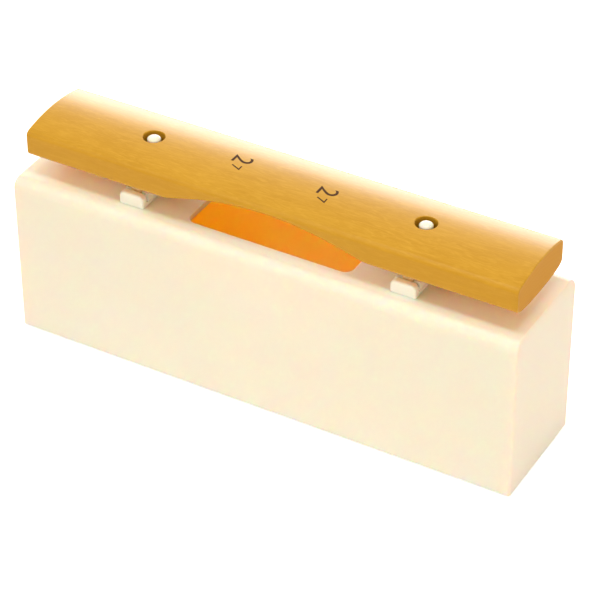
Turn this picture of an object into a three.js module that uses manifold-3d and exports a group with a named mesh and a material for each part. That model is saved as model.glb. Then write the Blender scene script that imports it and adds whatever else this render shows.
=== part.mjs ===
// Chime bar: one tuned bar that rests on padded bridges above a hollow resonator box.
// Millimetres. +X runs along the bar, +Y to the back and +Z up.
// The origin lies on the table, below the middle of the box.

import * as THREE from 'three';
import { mergeVertices } from 'three/addons/utils/BufferGeometryUtils.js';
import Module from 'manifold-3d';

const wasm = await Module();
wasm.setup();

// Resonator box: a moulded shell, open below
const boxLength = 290;
const boxDepth = 66.2;
const boxHeight = 93.6;
const boxWall = 3;
const boxTopWall = 3;
const boxCornerRadius = 2;
const boxInnerCornerRadius = 1.2;
const boxLongEdgeRound = 6.5;
const boxEndEdgeRound = 1.5;
const boxFootEdgeRound = 0.4;

// Sound hole in the top of the box
const soundHoleLength = 94;
const soundHoleDepth = 41.4;
const soundHoleRadius = 5;
const soundHoleRim = 0.8;

// Base plate that closes the box from below
const baseThickness = 3.2;
const baseRecess = 0.4;
const baseClearance = 0.3;
const baseRibHeight = 4;
const baseRibWidth = 1.6;
const ribFrameDepth = 34;
const ribFrameMargin = 14;
const ribBayCount = 4;

// Screw bosses in the box, the ribs that tie them to the walls, and the screws
const bossDiameter = 9;
const bossHeight = 16;
const bossRibWidth = 1.6;
const bossRibSetback = 1.5;
const screwHeadDiameter = 6.4;
const screwHeadHeight = 1.4;
const screwHeadClearance = 0.3;
const screwShankDiameter = 2.9;
const screwReach = 9;
const screwTipLength = 2;
const screwClearance = 0.15;
const screwEdgeLand = 1.5;
const counterboreDepth = 1.6;

// Rubber feet in pockets of the base plate
const footDiameter = 12;
const footStand = 1;
const footPocketDepth = 1.2;
const footEdgeRound = 0.5;
const footInsetLength = 25;
const footInsetDepth = 13.5;
const footClearance = 0.3;

// Sound bar
const barLength = 280.4;
const barWidth = 50;
const barThickness = 19.5;
const barCrown = 2.5;
const barTopInset = 3.2;
const barEndEdgeRound = 0.7;
const barBellyRise = 3;
const barBellyWidth = 48.4;
const barShoulder = 3.2;
const barSideBottom = 3.9;
const barLift = 9.3;

// Tuning arch under the middle of the bar
const archHalfSpan = 74.1;
const archWeb = 6;
const archCrownShare = 0.5;
const archFootShare = 0.82;

// Bar holes and pins, just past the arch, where the bar hardly moves when it sounds
const pinPastArch = 4;
const barHoleDiameter = 11.4;
const barHoleRim = 0.4;
const pinDiameter = 7.6;
const pinTopDiameter = 7.2;
const pinDome = 1.5;
const pinTopBelowCrown = 0.2;
const pinCollarDiameter = 9.8;
const pinCollarHeight = 0.9;
const pinShankDiameter = 5;
const pinBarbDiameter = 6.2;
const pinBarbLength = 3;
const pinBarbTip = 3.6;

// Bridges that carry the bar
const bridgeDepth = 47.4;
const stripWidth = 14.1;
const stripThickness = 1.6;
const blockWidth = 14.4;
const blockCorner = 1.5;
const blockDepth = 4.3;
const blockBelowBar = 2.1;
const blockEdgeRound = 1.1;
const slitWidth = 1.5;
const railWidth = 13.5;
const railChamfer = 0.6;
const grooveDepth = 1.2;
const grooveClearance = 0.3;
const spigotSpacing = 27;
const spigotDiameter = 4.6;
const spigotReach = 1.8;
const spigotTaper = 0.5;
const spigotClearance = 0.3;
const pinFitClearance = 0.15;

// Soft pads between the bridges and the bar
const padWidth = 5.6;
const padCrown = 2.5;
const padProud = 2.7;
const padEndRound = 0.6;
const padOverhang = 1;
const padPinGap = 0.5;

// Fits between faces that rest on each other, and the overrun of cuts
const seatGap = 0.1;
const overrun = 1;
const mergeTolerance = 1e-4;
const cornerLeast = 0.2;

// Fineness of the curves, in steps
const boxSteps = { corner: 7, edge: 7 };
const blockSteps = { corner: 3, edge: 3 };
const plateSteps = 5;
const holeSteps = 32;
const pinSteps = 20;
const smallSteps = 14;
const domeSteps = 4;
const sectionSteps = 8;
const padSteps = 5;
const archSteps = 26;

// Heights that follow from the sizes above
const boxBottom = footStand;
const boxTop = boxBottom + boxHeight;
const boxCeiling = boxTop - boxTopWall;
const baseBottom = boxBottom + baseRecess;
const baseTop = baseBottom + baseThickness;
const bossBottom = baseTop + seatGap;
const bridgeBottom = boxTop + seatGap;
const stripTop = boxTop + stripThickness;
const barBottom = boxTop + barLift;
const barTop = barBottom + barThickness;
const railTop = barBottom - padProud;
const blockTop = barBottom - blockBelowBar;

// Lengths that follow from the sizes above
const innerLength = boxLength - 2 * boxWall;
const innerDepth = boxDepth - 2 * boxWall;
const screwHoleDiameter = screwShankDiameter + 2 * screwClearance;
const counterboreDiameter = screwHeadDiameter + 2 * screwHeadClearance;
const screwInset = baseClearance + screwEdgeLand + counterboreDiameter / 2;
const archDepth = barThickness - archWeb;
const pinSpacing = 2 * (archHalfSpan + pinPastArch);

const finishes = {
  box: { color: 0xf3e8cf, roughness: 0.42, metalness: 0 },
  bar: { color: 0xdba148, roughness: 0.38, metalness: 0 },
  white: { color: 0xf7f3ea, roughness: 0.35, metalness: 0 },
  pad: { color: 0xf0dcb6, roughness: 0.8, metalness: 0 },
  rubber: { color: 0x3b3a38, roughness: 0.85, metalness: 0 },
  steel: { color: 0xb9bbbd, roughness: 0.3, metalness: 1 },
};

// Turns a closed geometry into a solid that can be joined and cut.
function solidOf(geometry) {
  const bare = geometry.clone();
  bare.deleteAttribute('normal');
  bare.deleteAttribute('uv');
  const merged = mergeVertices(bare, mergeTolerance);
  const index = merged.index.array;
  const kept = [];
  for (let i = 0; i < index.length; i += 3) {
    const [a, b, c] = [index[i], index[i + 1], index[i + 2]];
    if (a !== b && b !== c && c !== a) kept.push(a, b, c);
  }
  return new wasm.Manifold(new wasm.Mesh({
    numProp: 3,
    vertProperties: new Float32Array(merged.attributes.position.array),
    triVerts: new Uint32Array(kept),
  }));
}

function geometryOf(solid) {
  const mesh = solid.getMesh();
  const geometry = new THREE.BufferGeometry();
  geometry.setAttribute('position', new THREE.BufferAttribute(new Float32Array(mesh.vertProperties), 3));
  geometry.setIndex(new THREE.BufferAttribute(new Uint32Array(mesh.triVerts), 1));
  geometry.computeVertexNormals();
  return geometry;
}

function piece(name, solid, finish) {
  const mesh = new THREE.Mesh(geometryOf(solid), new THREE.MeshStandardMaterial(finishes[finish]));
  mesh.name = name;
  return mesh;
}

// A closed ring of points round a rectangle whose corners are quarter ellipses.
function roundedRing(halfLength, halfDepth, radiusX, radiusY, steps) {
  const quarter = Math.PI / 2;
  const corners = [[1, 1], [-1, 1], [-1, -1], [1, -1]];
  return corners.flatMap(([sideX, sideY], turn) => new THREE.EllipseCurve(
    sideX * (halfLength - radiusX), sideY * (halfDepth - radiusY),
    radiusX, radiusY, turn * quarter, (turn + 1) * quarter,
  ).getPoints(steps));
}

// Joins rings of equal count, given from the bottom up as { z, points }, into one closed body.
function loft(rings) {
  const count = rings[0].points.length;
  const positions = rings.flatMap(({ z, points }) => points.flatMap((p) => [p.x, p.y, z]));
  const index = [];
  for (let level = 0; level < rings.length - 1; level += 1) {
    for (let i = 0; i < count; i += 1) {
      const a = level * count + i;
      const b = level * count + (i + 1) % count;
      index.push(a, b, b + count, a, b + count, a + count);
    }
  }
  const last = (rings.length - 1) * count;
  THREE.ShapeUtils.triangulateShape(rings[0].points, []).forEach(([a, b, c]) => index.push(a, c, b));
  THREE.ShapeUtils.triangulateShape(rings[rings.length - 1].points, [])
    .forEach(([a, b, c]) => index.push(last + a, last + b, last + c));
  const geometry = new THREE.BufferGeometry();
  geometry.setAttribute('position', new THREE.Float32BufferAttribute(positions, 3));
  geometry.setIndex(index);
  return solidOf(geometry);
}

// A rounded block whose top edges are quarter ellipses: deeper along its long sides than its ends.
function crownedBlock({ length, depth, bottom, top, corner, endRound, longRound, footRound = 0, steps }) {
  const ring = (insetX, insetY) => roundedRing(
    length / 2 - insetX, depth / 2 - insetY,
    Math.max(corner - insetX, cornerLeast), Math.max(corner - insetY, cornerLeast), steps.corner,
  );
  const rings = [];
  for (let i = 0; i < steps.edge && footRound > 0; i += 2) {
    const angle = (i / steps.edge) * (Math.PI / 2);
    const inset = footRound * (1 - Math.sin(angle));
    rings.push({ z: bottom + footRound * (1 - Math.cos(angle)), points: ring(inset, inset) });
  }
  rings.push({ z: bottom + footRound, points: ring(0, 0) });
  for (let i = 0; i <= steps.edge; i += 1) {
    const angle = (i / steps.edge) * (Math.PI / 2);
    rings.push({
      z: top - longRound + longRound * Math.sin(angle),
      points: ring(endRound * (1 - Math.cos(angle)), longRound * (1 - Math.cos(angle))),
    });
  }
  return loft(rings);
}

// A round body about a vertical axis, from a profile of [radius, height] that starts and ends on it.
function turned(profile, x, y, steps) {
  const geometry = new THREE.LatheGeometry(profile.map(([r, h]) => new THREE.Vector2(r, h)), steps);
  geometry.rotateX(Math.PI / 2);
  return solidOf(geometry).translate([x, y, 0]);
}

function rod(diameter, bottom, top, x, y, steps = pinSteps) {
  return turned([[0, bottom], [diameter / 2, bottom], [diameter / 2, top], [0, top]], x, y, steps);
}

// Draws a shape in the YZ plane and runs it along X, middle on the origin.
function alongX(shape, length, bevel) {
  const geometry = new THREE.ExtrudeGeometry(shape, {
    depth: length - 2 * bevel, bevelEnabled: bevel > 0, bevelThickness: bevel, bevelSize: bevel,
    bevelOffset: -bevel, bevelSegments: 2, curveSegments: sectionSteps,
  });
  geometry.translate(0, 0, bevel - length / 2);
  geometry.applyMatrix4(new THREE.Matrix4().makeBasis(
    new THREE.Vector3(0, 1, 0), new THREE.Vector3(0, 0, 1), new THREE.Vector3(1, 0, 0),
  ));
  return solidOf(geometry);
}

// Draws a shape in the XZ plane and runs it along Y, from the front.
function alongY(shape, front, back, steps, bevel = 0) {
  const geometry = new THREE.ExtrudeGeometry(shape, {
    depth: back - front - 2 * bevel, bevelEnabled: bevel > 0, bevelThickness: bevel, bevelSize: bevel,
    bevelOffset: -bevel, bevelSegments: 2, curveSegments: steps,
  });
  geometry.translate(0, 0, bevel - back);
  geometry.applyMatrix4(new THREE.Matrix4().makeBasis(
    new THREE.Vector3(1, 0, 0), new THREE.Vector3(0, 0, 1), new THREE.Vector3(0, -1, 0),
  ));
  return solidOf(geometry);
}

function brick(length, depth, bottom, top, x, y) {
  return solidOf(new THREE.BoxGeometry(length, depth, top - bottom)).translate([x, y, (bottom + top) / 2]);
}

// A plate with rounded corners in plan, centred on x and y.
function plate(length, depth, radius, bottom, top, x = 0, y = 0) {
  const points = roundedRing(length / 2, depth / 2, radius, radius, plateSteps);
  return loft([{ z: bottom, points }, { z: top, points }]).translate([x, y, 0]);
}

const joined = (solids) => solids.reduce((sum, next) => sum.add(next));
const cut = (body, tools) => tools.reduce((rest, tool) => rest.subtract(tool), body);

// Places of what repeats
const bossPlaces = [-1, 0, 1].flatMap((sideX) => [-1, 1].map((sideY) => ({
  sideX,
  sideY,
  x: sideX * (innerLength / 2 - screwInset),
  y: sideY * (innerDepth / 2 - screwInset),
  name: `${['left', 'middle', 'right'][sideX + 1]}_${sideY < 0 ? 'front' : 'rear'}`,
})));
const footPlaces = [-1, 1].flatMap((sideX) => [-1, 1].map((sideY) => ({
  x: sideX * (boxLength / 2 - footInsetLength),
  y: sideY * (boxDepth / 2 - footInsetDepth),
  name: `${sideX < 0 ? 'left' : 'right'}_${sideY < 0 ? 'front' : 'rear'}`,
})));
const bridgePlaces = [-1, 1].map((side) => ({ x: side * pinSpacing / 2, name: side < 0 ? 'left' : 'right' }));

// A screw boss with a coned top, and thin ribs from it into the walls beside it.
function screwBoss({ x, y, sideX, sideY }) {
  const top = bossBottom + bossHeight;
  const post = turned([
    [0, bossBottom], [bossDiameter / 2, bossBottom], [bossDiameter / 2, top], [0, top + bossDiameter / 2],
  ], x, y, pinSteps);
  const reach = screwInset + boxWall / 2;
  const ribBottom = bossBottom + bossRibSetback;
  const ribTop = top - bossRibSetback;
  const ribs = [brick(bossRibWidth, reach, ribBottom, ribTop, x, y + sideY * reach / 2)];
  if (sideX !== 0) ribs.push(brick(reach, bossRibWidth, ribBottom, ribTop, x + sideX * reach / 2, y));
  return joined([post, ...ribs]);
}

function resonatorBox() {
  const outer = crownedBlock({
    length: boxLength, depth: boxDepth, bottom: boxBottom, top: boxTop, corner: boxCornerRadius,
    endRound: boxEndEdgeRound, longRound: boxLongEdgeRound, footRound: boxFootEdgeRound, steps: boxSteps,
  });
  const chamber = crownedBlock({
    length: innerLength, depth: innerDepth, bottom: boxBottom - overrun, top: boxCeiling,
    corner: boxInnerCornerRadius, steps: boxSteps,
    endRound: Math.max(boxEndEdgeRound - boxWall, seatGap),
    longRound: Math.max(boxLongEdgeRound - boxWall, seatGap),
  });
  const hole = (grow) => roundedRing(
    soundHoleLength / 2 + grow, soundHoleDepth / 2 + grow, soundHoleRadius + grow, soundHoleRadius + grow,
    boxSteps.corner,
  );
  const soundHole = loft([
    { z: boxCeiling - overrun, points: hole(0) },
    { z: boxTop - soundHoleRim, points: hole(0) },
    { z: boxTop + overrun, points: hole(soundHoleRim + overrun) },
  ]);
  const pilots = bossPlaces.map(({ x, y }) => rod(
    screwHoleDiameter, bossBottom - overrun,
    baseBottom + counterboreDepth + screwReach + screwTipLength + overrun, x, y, smallSteps,
  ));
  const pegHoles = bridgePlaces.flatMap(({ x }) => [
    rod(pinShankDiameter + 2 * pinFitClearance, boxCeiling - overrun, boxTop + overrun, x, 0),
    ...[-1, 1].map((side) => rod(
      spigotDiameter + 2 * spigotClearance, boxCeiling - overrun, boxTop + overrun,
      x, side * spigotSpacing / 2,
    )),
  ]);
  const shell = cut(outer, [chamber]);
  return cut(joined([shell, ...bossPlaces.map(screwBoss)]), [soundHole, ...pilots, ...pegHoles]);
}

// The stiffening ribs on the plate's inner face: a ladder with open bays.
function ribFrame(length) {
  const pitch = (length - baseRibWidth) / ribBayCount;
  const bottom = baseBottom + baseThickness / 2;
  const top = baseTop + baseRibHeight;
  const bays = Array.from({ length: ribBayCount }, (_, i) => brick(
    pitch - baseRibWidth, ribFrameDepth - 2 * baseRibWidth, baseTop, top + overrun,
    (i + 1 / 2 - ribBayCount / 2) * pitch, 0,
  ));
  return cut(brick(length, ribFrameDepth, bottom, top, 0, 0), bays);
}

function basePlate() {
  const length = innerLength - 2 * baseClearance;
  const depth = innerDepth - 2 * baseClearance;
  const slab = plate(length, depth, boxInnerCornerRadius - baseClearance, baseBottom, baseTop);
  const screwHoles = bossPlaces.map(({ x, y }) => turned([
    [0, baseBottom - overrun], [counterboreDiameter / 2, baseBottom - overrun],
    [counterboreDiameter / 2, baseBottom + counterboreDepth],
    [screwHoleDiameter / 2, baseBottom + counterboreDepth],
    [screwHoleDiameter / 2, baseTop + overrun], [0, baseTop + overrun],
  ], x, y, smallSteps));
  const footPockets = footPlaces.map(({ x, y }) => rod(
    footDiameter + 2 * footClearance, baseBottom - overrun, baseBottom + footPocketDepth, x, y,
  ));
  return cut(joined([slab, ribFrame(length - 2 * ribFrameMargin)]), [...screwHoles, ...footPockets]);
}

function baseScrew({ x, y }) {
  const seat = baseBottom + counterboreDepth - seatGap;
  return turned([
    [0, seat - screwHeadHeight],
    [screwHeadDiameter / 2 - screwHeadHeight / 2, seat - screwHeadHeight],
    [screwHeadDiameter / 2, seat - screwHeadHeight / 2],
    [screwHeadDiameter / 2, seat],
    [screwShankDiameter / 2, seat],
    [screwShankDiameter / 2, seat + screwReach],
    [0, seat + screwReach + screwTipLength],
  ], x, y, smallSteps);
}

function rubberFoot({ x, y }) {
  const top = baseBottom + footPocketDepth - seatGap;
  const radius = footDiameter / 2;
  return turned([
    [0, 0], [radius - footEdgeRound, 0], [radius, footEdgeRound], [radius, top], [0, top],
  ], x, y, pinSteps);
}

// The bar's section, drawn as [y, z] from its underside: crowned above, bellied below, softly shouldered.
function barSection() {
  const half = barWidth / 2;
  const crownHalf = half - barTopInset;
  const crownEdge = barThickness - barCrown;
  const crownRadius = (crownHalf ** 2 + barCrown ** 2) / (2 * barCrown);
  const crownHalfAngle = Math.asin(crownHalf / crownRadius);
  const topCorner = crownEdge - barTopInset * Math.tan(crownHalfAngle);
  const sideTop = crownEdge - barShoulder;
  const bellyHalf = barBellyWidth / 2;
  const bellySlope = (2 * barBellyRise) / bellyHalf;
  const lowCorner = barBellyRise + (half - bellyHalf) * bellySlope;
  const shape = new THREE.Shape();
  shape.moveTo(-bellyHalf, barBellyRise);
  shape.quadraticCurveTo(-bellyHalf / 2, 0, 0, 0);
  shape.quadraticCurveTo(bellyHalf / 2, 0, bellyHalf, barBellyRise);
  shape.quadraticCurveTo(half, lowCorner, half, barSideBottom);
  shape.lineTo(half, sideTop);
  shape.quadraticCurveTo(half, topCorner, crownHalf, crownEdge);
  shape.absarc(0, barThickness - crownRadius, crownRadius,
    Math.PI / 2 - crownHalfAngle, Math.PI / 2 + crownHalfAngle);
  shape.quadraticCurveTo(-half, topCorner, -half, sideTop);
  shape.lineTo(-half, barSideBottom);
  shape.quadraticCurveTo(-half, lowCorner, -bellyHalf, barBellyRise);
  return shape;
}

// The tuning arch, cut straight across the underside: a long S-shaped rise to a level middle.
function archCut() {
  const shape = new THREE.Shape();
  const handle = archHalfSpan * archCrownShare;
  const foot = archHalfSpan * archFootShare;
  shape.moveTo(-archHalfSpan, 0);
  shape.bezierCurveTo(-foot, 0, -handle, archDepth, 0, archDepth);
  shape.bezierCurveTo(handle, archDepth, foot, 0, archHalfSpan, 0);
  shape.lineTo(archHalfSpan, -overrun);
  shape.lineTo(-archHalfSpan, -overrun);
  shape.closePath();
  return alongY(shape, -barWidth / 2 - overrun, barWidth / 2 + overrun, archSteps);
}

function soundBar() {
  const holeRadius = barHoleDiameter / 2;
  const holes = bridgePlaces.map(({ x }) => turned([
    [0, -overrun],
    [holeRadius + barHoleRim + overrun, -overrun],
    [holeRadius, barHoleRim],
    [holeRadius, barThickness - barHoleRim],
    [holeRadius + barHoleRim + overrun, barThickness + overrun],
    [0, barThickness + overrun],
  ], x, 0, holeSteps));
  return cut(alongX(barSection(), barLength, barEndEdgeRound), [archCut(), ...holes])
    .translate([0, 0, barBottom]);
}

function bridge({ x }) {
  const blockMiddle = bridgeDepth / 2 - blockDepth / 2;
  const railHalf = bridgeDepth / 2 - blockDepth - slitWidth;
  const insideStrip = bridgeBottom + stripThickness / 2;
  const strip = plate(stripWidth, 2 * blockMiddle, blockCorner, bridgeBottom, stripTop);
  const blocks = [-1, 1].map((side) => crownedBlock({
    length: blockWidth, depth: blockDepth, bottom: bridgeBottom, top: blockTop,
    corner: blockCorner, endRound: blockEdgeRound, longRound: blockEdgeRound, steps: blockSteps,
  }).translate([0, side * blockMiddle, 0]));
  const half = railWidth / 2;
  const grooveHalf = padWidth / 2 + grooveClearance;
  const profile = new THREE.Shape([
    [-half, insideStrip], [half, insideStrip], [half, railTop - railChamfer], [half - railChamfer, railTop],
    [grooveHalf, railTop], [grooveHalf, railTop - grooveDepth], [-grooveHalf, railTop - grooveDepth],
    [-grooveHalf, railTop], [railChamfer - half, railTop], [-half, railTop - railChamfer],
  ].map(([u, v]) => new THREE.Vector2(u, v)));
  const rail = alongY(profile, -railHalf, railHalf, 1);
  const spigotTip = boxCeiling - spigotReach;
  const spigots = [-1, 1].map((side) => turned([
    [0, spigotTip], [spigotDiameter / 2 - spigotTaper, spigotTip], [spigotDiameter / 2, spigotTip + spigotTaper],
    [spigotDiameter / 2, insideStrip], [0, insideStrip],
  ], 0, side * spigotSpacing / 2, smallSteps));
  const bore = rod(pinShankDiameter + 2 * pinFitClearance, bridgeBottom - overrun, railTop + overrun, 0, 0);
  return cut(joined([strip, ...blocks, rail, ...spigots]), [bore]).translate([x, 0, 0]);
}

function barPin({ x }) {
  const collarBottom = railTop + seatGap;
  const collarTop = collarBottom + pinCollarHeight;
  const top = barTop - pinTopBelowCrown;
  const topRadius = pinTopDiameter / 2;
  const barbTop = boxCeiling - seatGap;
  const dome = new THREE.EllipseCurve(0, top - pinDome, topRadius, pinDome, 0, Math.PI / 2)
    .getPoints(domeSteps).map((p) => [p.x, p.y]);
  dome[dome.length - 1][0] = 0;
  return turned([
    [0, barbTop - pinBarbLength], [pinBarbTip / 2, barbTop - pinBarbLength], [pinBarbDiameter / 2, barbTop],
    [pinShankDiameter / 2, barbTop], [pinShankDiameter / 2, collarBottom],
    [pinCollarDiameter / 2, collarBottom], [pinCollarDiameter / 2, collarTop],
    [pinDiameter / 2, collarTop], ...dome,
  ], x, 0, pinSteps);
}

function barPad({ x }, side) {
  const bottom = railTop - grooveDepth + seatGap;
  const top = barBottom - seatGap;
  const half = padWidth / 2;
  const inner = pinCollarDiameter / 2 + padPinGap;
  const outer = bridgeDepth / 2 - blockDepth - slitWidth + padOverhang;
  const shape = new THREE.Shape();
  shape.moveTo(-half, bottom);
  shape.lineTo(half, bottom);
  shape.absellipse(0, top - padCrown, half, padCrown, 0, Math.PI);
  shape.closePath();
  const front = side < 0 ? -outer : inner;
  const back = side < 0 ? -inner : outer;
  return alongY(shape, front, back, padSteps, padEndRound).translate([x, 0, 0]);
}

const stand = new THREE.Group();
stand.add(piece('resonator_box', resonatorBox(), 'box'));
stand.add(piece('base_plate', basePlate(), 'box'));
bossPlaces.forEach((place) => stand.add(piece(`base_screw_${place.name}`, baseScrew(place), 'steel')));
footPlaces.forEach((place) => stand.add(piece(`foot_${place.name}`, rubberFoot(place), 'rubber')));
bridgePlaces.forEach((place) => {
  stand.add(piece(`bridge_${place.name}`, bridge(place), 'white'));
  stand.add(piece(`bar_pin_${place.name}`, barPin(place), 'white'));
  stand.add(piece(`bar_pad_${place.name}_front`, barPad(place, -1), 'pad'));
  stand.add(piece(`bar_pad_${place.name}_rear`, barPad(place, 1), 'pad'));
});

const chimeBar = new THREE.Group();
chimeBar.add(stand);
chimeBar.add(piece('sound_bar', soundBar(), 'bar'));

export default chimeBar;
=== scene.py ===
"""A chime bar: a golden wooden bar on two padded bridges over a cream moulded resonator box.

Lengths are in metres. +X runs along the bar, +Y to the back and +Z up, from the table below the middle.
"""

import logging
import math
from collections.abc import Iterable, Sequence
from dataclasses import dataclass
from enum import Enum, IntEnum

import bmesh
import bpy
from bmesh.types import BMEdge, BMesh, BMFace, BMVert
from bpy.types import ID, Material, Node, NodeSocket, NodeTree, Object
from mathutils import Matrix, Vector


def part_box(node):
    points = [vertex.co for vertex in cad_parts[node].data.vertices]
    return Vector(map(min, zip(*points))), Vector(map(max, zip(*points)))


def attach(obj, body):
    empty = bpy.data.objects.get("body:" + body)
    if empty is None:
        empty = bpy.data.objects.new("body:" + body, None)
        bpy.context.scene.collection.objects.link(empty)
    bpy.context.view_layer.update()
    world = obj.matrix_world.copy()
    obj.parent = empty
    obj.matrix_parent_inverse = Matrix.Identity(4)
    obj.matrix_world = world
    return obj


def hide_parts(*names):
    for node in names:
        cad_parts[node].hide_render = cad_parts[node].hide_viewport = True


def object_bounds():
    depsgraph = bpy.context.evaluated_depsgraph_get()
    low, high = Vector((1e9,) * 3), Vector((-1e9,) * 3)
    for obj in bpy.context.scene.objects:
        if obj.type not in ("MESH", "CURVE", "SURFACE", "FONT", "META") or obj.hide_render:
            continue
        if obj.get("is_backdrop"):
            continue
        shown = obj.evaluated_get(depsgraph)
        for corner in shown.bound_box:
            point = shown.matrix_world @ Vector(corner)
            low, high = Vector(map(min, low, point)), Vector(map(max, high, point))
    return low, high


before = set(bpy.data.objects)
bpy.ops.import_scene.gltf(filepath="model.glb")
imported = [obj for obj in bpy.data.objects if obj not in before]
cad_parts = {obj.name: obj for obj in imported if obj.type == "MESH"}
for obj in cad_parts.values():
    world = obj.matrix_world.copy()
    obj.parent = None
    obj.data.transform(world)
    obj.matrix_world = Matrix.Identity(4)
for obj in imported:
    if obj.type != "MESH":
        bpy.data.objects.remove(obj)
cad_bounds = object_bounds()

LOG = logging.getLogger("chime_bar")
QUARTER = math.pi / 2
FULL_TURN = 2 * math.pi
SHARP_ANGLE = math.radians(32)
NEARLY_LEVEL = math.cos(SHARP_ANGLE)
WELD = 1e-6
KEEP_MATERIAL = -1
NORMAL_WEIGHT = 70
LEAST_CORNER_SHARE = 0.1
WHITE = (1.0, 1.0, 1.0)
SCREWS = [f"base_screw_{x}_{y}" for x in ("left", "middle", "right") for y in ("front", "rear")]
FEET = [f"foot_{x}_{y}" for x in ("left", "right") for y in ("front", "rear")]

Colour = tuple[float, float, float]
Point = tuple[float, float]


class Body(Enum):
    """The two bodies that move apart: what stands on the table, and the bar that lifts off."""

    STAND = "stand"
    BAR = "bar"


class Slot(Enum):
    """The finish that a piece is sold in, so that it can be repainted as a whole."""

    BOX = "box_plastic"
    WOOD = "bar_wood"
    WHITE = "white_plastic"
    PAD = "soft_pad"
    RUBBER = "foot_rubber"
    STEEL = "screw_steel"


class Carve(Enum):
    """How one solid changes another."""

    CUT = "DIFFERENCE"
    JOIN = "UNION"


class ShellFace(IntEnum):
    """The material number of each part of the box's skin."""

    OUTSIDE = 0
    INSIDE = 1
    MOUTH = 2


class BarFace(IntEnum):
    """The material number of each part of the bar's skin."""

    LACQUERED = 0
    END = 1
    BARE = 2


def feed(tree: NodeTree, socket: NodeSocket, value: object) -> None:
    """Links a socket to an output, or sets it to a plain value."""
    if isinstance(value, NodeSocket):
        tree.links.new(value, socket)
    else:
        socket.default_value = value


def maths(tree: NodeTree, operation: str, first: object, second: object) -> NodeSocket:
    """Joins two numbers or sockets by one of Blender's maths operations."""
    node = tree.nodes.new("ShaderNodeMath")
    node.operation = operation
    feed(tree, node.inputs[0], first)
    feed(tree, node.inputs[1], second)
    return node.outputs[0]


def mixed(tree: NodeTree, factor: object, first: object, second: object) -> NodeSocket:
    """Mixes two colours.

    Args:
        tree: The node tree to work in.
        factor: Share of the second colour, a number or a socket.
        first: A colour or a socket.
        second: A colour or a socket.

    Returns:
        The mixed colour.
    """
    node = tree.nodes.new("ShaderNodeMix")
    node.data_type = "RGBA"
    feed(tree, node.inputs[0], factor)
    for socket, value in ((node.inputs[6], first), (node.inputs[7], second)):
        feed(tree, socket, (*value, 1) if isinstance(value, tuple) else value)
    return node.outputs[2]


class Recipe:
    """A material under construction, with short ways to add and join its nodes."""

    def __init__(self, name: str) -> None:
        """Starts an empty recipe.

        Args:
            name: The material's name.
        """
        self.material = bpy.data.materials.new(name)
        self.material.use_nodes = True
        self.tree = self.material.node_tree
        self.shader = self.tree.nodes["Principled BSDF"]
        self.place = self.add("ShaderNodeTexCoord").outputs["Object"]

    def add(self, kind: str, **inputs: object) -> Node:
        """Adds a node.

        Args:
            kind: Blender's name for the kind of node.
            **inputs: Values or sockets for its inputs, with underscores for the spaces in their names.

        Returns:
            The new node.
        """
        node = self.tree.nodes.new(kind)
        for name, value in inputs.items():
            feed(self.tree, node.inputs[name.replace("_", " ")], value)
        return node

    def set(self, **values: object) -> None:
        """Sets or links inputs of the main shader by name, with underscores for spaces."""
        for name, value in values.items():
            feed(self.tree, self.shader.inputs[name.replace("_", " ")], value)

    def noise(self, scale: float, stretch: Sequence[float] = (1, 1, 1), detail: float = 3,
              distortion: float = 0, roughness: float = 0.5) -> NodeSocket:
        """Adds a cloudy pattern that is fixed to the piece.

        Args:
            scale: Lumps per metre.
            stretch: How much the pattern is squeezed along each axis.
            detail: Octaves of finer lumps.
            distortion: How much the pattern swirls.
            roughness: How strong the finer lumps are.

        Returns:
            The pattern's value, about 0.5 in the middle.
        """
        mapping = self.add("ShaderNodeMapping", Vector=self.place, Scale=stretch)
        node = self.add("ShaderNodeTexNoise", Vector=mapping.outputs[0], Scale=scale, Detail=detail,
                        Distortion=distortion, Roughness=roughness)
        return node.outputs["Fac"]

    def spread(self, value: NodeSocket, low: float, high: float, to_low: float = 0,
               to_high: float = 1) -> NodeSocket:
        """Maps the range from low to high onto another range, clamped at its ends."""
        node = self.add("ShaderNodeMapRange", Value=value, From_Min=low, From_Max=high,
                        To_Min=to_low, To_Max=to_high)
        return node.outputs[0]

    def blend(self, factor: object, first: object, second: object) -> NodeSocket:
        """Mixes two colours, by the share of the second one."""
        return mixed(self.tree, factor, first, second)

    def sum(self, first: NodeSocket, second: NodeSocket,
            share: float = 1) -> NodeSocket:
        """Adds a share of a second number to a first one."""
        if share != 1:
            second = self.times(second, share)
        return maths(self.tree, "ADD", first, second)

    def times(self, value: NodeSocket, factor: float) -> NodeSocket:
        """Scales a number."""
        return maths(self.tree, "MULTIPLY", value, factor)

    def relief(self, height: NodeSocket, depth: float) -> None:
        """Raises the surface by a pattern from 0 to 1, where 1 is as high as the depth in metres."""
        self.set(Normal=self.add("ShaderNodeBump", Height=height, Distance=depth, Strength=1).outputs[0])


@dataclass(frozen=True)
class Finish:
    """A finish that can be mixed into a material."""

    name: str

    def mix(self, recipe: Recipe) -> None:
        """Fills in the recipe."""
        raise NotImplementedError

    def material(self) -> Material:
        """Makes the material."""
        recipe = Recipe(self.name)
        self.mix(recipe)
        return recipe.material


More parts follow.
